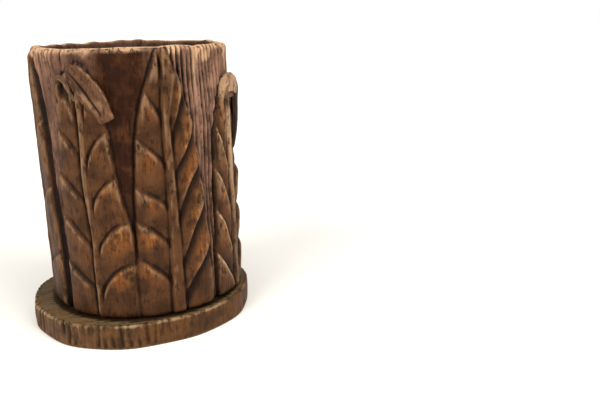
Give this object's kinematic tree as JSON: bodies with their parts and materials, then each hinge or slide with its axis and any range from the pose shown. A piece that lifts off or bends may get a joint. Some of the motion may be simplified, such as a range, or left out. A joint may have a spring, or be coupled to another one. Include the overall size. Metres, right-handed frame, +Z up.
{
  "type": "brush holder pot",
  "caption": "Round carved wooden brush pot with a leaf relief, standing on a low bark-edged wooden base plate.",
  "frame": {"origin": "on the pot's axis, in the flat underside that the base plate stands on", "axes": "+Z up along the pot's bore and out of its mouth; -Y is the front, towards the viewer; +X is the viewer's right"},
  "size_m": [0.1021, 0.0961, 0.125],
  "materials": {
    "stained_carved_wood": "carved, dark stained and waxed, worn lighter on the high spots",
    "plain_turned_wood": "turned and stained",
    "stained_base_wood": "sawn, stained, gouged round the edge",
    "screw_steel": "zinc plated"
  },
  "bodies": {
    "root": {"pot_body": "stained_carved_wood", "floor_plug": "plain_turned_wood", "base_plate": "stained_base_wood", "base_screws": "screw_steel"}
  },
  "joints": []
}
